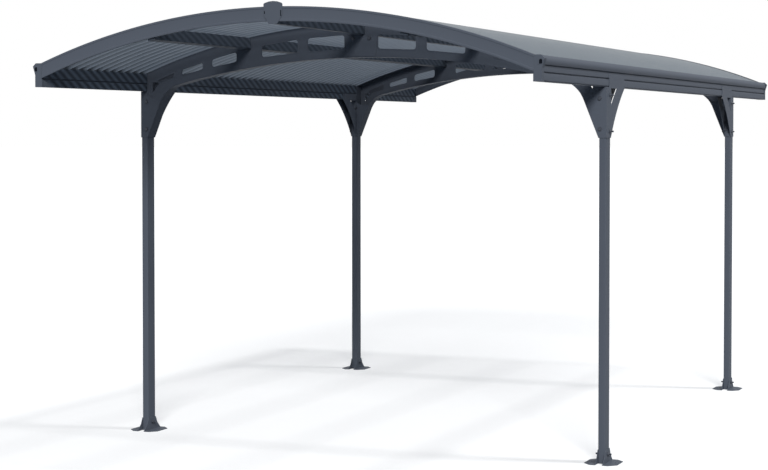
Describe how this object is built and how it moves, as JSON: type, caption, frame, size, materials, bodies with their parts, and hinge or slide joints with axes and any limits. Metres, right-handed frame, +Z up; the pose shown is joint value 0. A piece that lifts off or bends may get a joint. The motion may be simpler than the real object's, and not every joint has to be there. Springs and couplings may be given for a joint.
{
  "type": "carport",
  "caption": "Free-standing open carport with an arched corrugated roof carried by posts, ribs, purlins and side gutters.",
  "frame": {"origin": "on the ground, under the middle of the roof", "axes": "+X across the roof to the right seen from the front, +Y along the roof from the front to the rear, +Z up"},
  "size_m": [2.8084, 5.0254, 2.2887],
  "materials": {
    "frame": "satin powder coat, anthracite",
    "cap": "satin, anthracite",
    "roof_sheet": "translucent smoke grey"
  },
  "bodies": {
    "root": {"post_front_right": "frame", "post_front_left": "frame", "post_rear_right": "frame", "post_rear_left": "frame", "foot_outer_front_right": "frame", "foot_outer_front_left": "frame", "foot_outer_rear_right": "frame", "foot_outer_rear_left": "frame", "foot_inner_front_right": "frame", "foot_inner_front_left": "frame", "foot_inner_rear_right": "frame", "foot_inner_rear_left": "frame", "head_bracket_outer_front_right": "frame", "head_bracket_outer_front_left": "frame", "head_bracket_outer_rear_right": "frame", "head_bracket_outer_rear_left": "frame", "head_bracket_inner_front_right": "frame", "head_bracket_inner_front_left": "frame", "head_bracket_inner_rear_right": "frame", "head_bracket_inner_rear_left": "frame", "rib_front_right": "frame", "rib_front_left": "frame", "rib_rear_right": "frame", "rib_rear_left": "frame", "fascia_front_right": "frame", "fascia_front_left": "frame", "fascia_rear_right": "frame", "fascia_rear_left": "frame", "gutter_cap_front_right": "cap", "gutter_cap_front_left": "cap", "gutter_cap_rear_right": "cap", "gutter_cap_rear_left": "cap", "rib_splice_front": "frame", "apex_cap_front": "cap", "rib_splice_rear": "frame", "apex_cap_rear": "cap", "gutter_right": "frame", "mid_purlin_right": "frame", "gutter_left": "frame", "mid_purlin_left": "frame", "ridge_purlin": "frame", "roof_sheet_1": "roof_sheet", "roof_sheet_2": "roof_sheet", "roof_sheet_3": "roof_sheet", "roof_sheet_4": "roof_sheet"}
  },
  "joints": []
}
